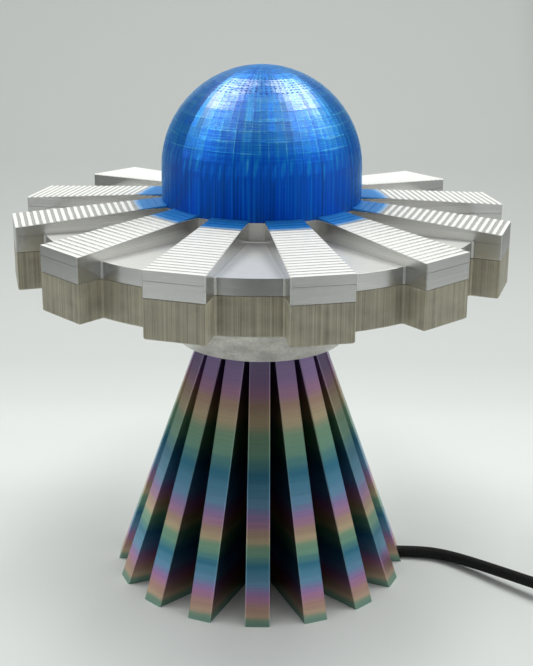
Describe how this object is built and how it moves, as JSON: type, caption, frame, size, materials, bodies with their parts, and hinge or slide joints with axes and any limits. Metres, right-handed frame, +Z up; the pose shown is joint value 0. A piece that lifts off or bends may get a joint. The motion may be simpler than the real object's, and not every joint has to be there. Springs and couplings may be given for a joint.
{
  "type": "ufo lamp",
  "caption": "Table lamp shaped like a flying saucer on a cone of upright fins, with a lift-off domed top, a screw-in bulb and a corded rocker switch.",
  "frame": {"origin": "centre of the finned base on the surface that it stands on", "axes": "+Z up along the lamp's axis, -Y to the front, +X to the side where the cord leaves"},
  "size_m": [0.3981, 0.3088, 0.27],
  "materials": {
    "colour_shift_print": "silk print whose colour shifts between green, blue, violet and bronze",
    "clear_print": "cloudy clear print",
    "silver_print": "silver silk print",
    "blue_print": "blue silk print",
    "zinc_steel": "zinc plated",
    "black_plastic": "satin black",
    "rocker_plastic": "gloss black",
    "white_ceramic": "plain white",
    "brass": "plain brass",
    "wire_sheath": "pale wire sheath",
    "bulb_metal": "plain metal",
    "bulb_insulator": "dark glassy insulator",
    "white_plastic": "plain white",
    "board": "white coated board",
    "led_yellow": "yellow phosphor",
    "opal_plastic": "opal",
    "braided_cord": "black braid",
    "tie_rubber": "matte black",
    "pin_metal": "nickel plated"
  },
  "bodies": {
    "lamp": {"beam_base": "colour_shift_print", "neck_collar": "clear_print", "saucer_lower": "clear_print", "tray_screws": "zinc_steel", "threaded_nipple": "zinc_steel", "nipple_washer": "zinc_steel", "nipple_nut": "zinc_steel", "cord_grip": "black_plastic", "cord_grip_screw": "black_plastic", "lampholder_cap": "black_plastic", "lampholder_shell": "black_plastic", "lampholder_insert": "white_ceramic", "screw_shell_contact": "brass", "centre_contact": "brass", "terminal_screws": "zinc_steel", "lamp_wires": "wire_sheath", "cord_inside": "braided_cord", "cord_lead": "braided_cord", "cord_run": "braided_cord", "cord_coil": "braided_cord", "coil_tie": "tie_rubber", "cord_tail": "braided_cord", "switch_lower_case": "black_plastic", "switch_upper_case": "black_plastic", "switch_screws": "zinc_steel", "switch_contacts": "brass", "switch_cord_grips": "black_plastic", "plug_strain_relief": "black_plastic", "plug_body": "black_plastic", "plug_pins": "pin_metal"},
    "shade": {"saucer_upper": "silver_print", "dome": "blue_print"},
    "bulb_carrier": {"bulb_foot_contact": "bulb_metal"},
    "bulb": {"bulb_foot_insulator": "bulb_insulator", "bulb_screw_cap": "bulb_metal", "bulb_housing": "white_plastic", "led_board": "board", "led_chips": "led_yellow", "bulb_globe": "opal_plastic"},
    "rocker": {"switch_rocker": "rocker_plastic"}
  },
  "joints": [
    {"name": "saucer_lift", "type": "slide", "parent": "lamp", "child": "shade", "axis": [0, 0, 1], "range_m": [0, 0.08]},
    {"name": "bulb_rise", "type": "slide", "parent": "lamp", "child": "bulb_carrier", "axis": [0, 0, 1], "range_m": [0, 0.0146]},
    {"name": "bulb_turn", "type": "hinge", "parent": "bulb_carrier", "child": "bulb", "pos_m": [0, 0, 0.175], "axis": [0, 0, 1], "range_deg": [0, 1440]},
    {"name": "switch_rock", "type": "hinge", "parent": "lamp", "child": "rocker", "pos_m": [0.1862, -0.1161, 0.0156], "axis": [-0.9659, -0.2588, 0], "range_deg": [0, 16]}
  ],
  "couplings": [
    {"joint": "bulb_rise", "follows": "bulb_turn", "m_per_rad": 0.00057757}
  ]
}
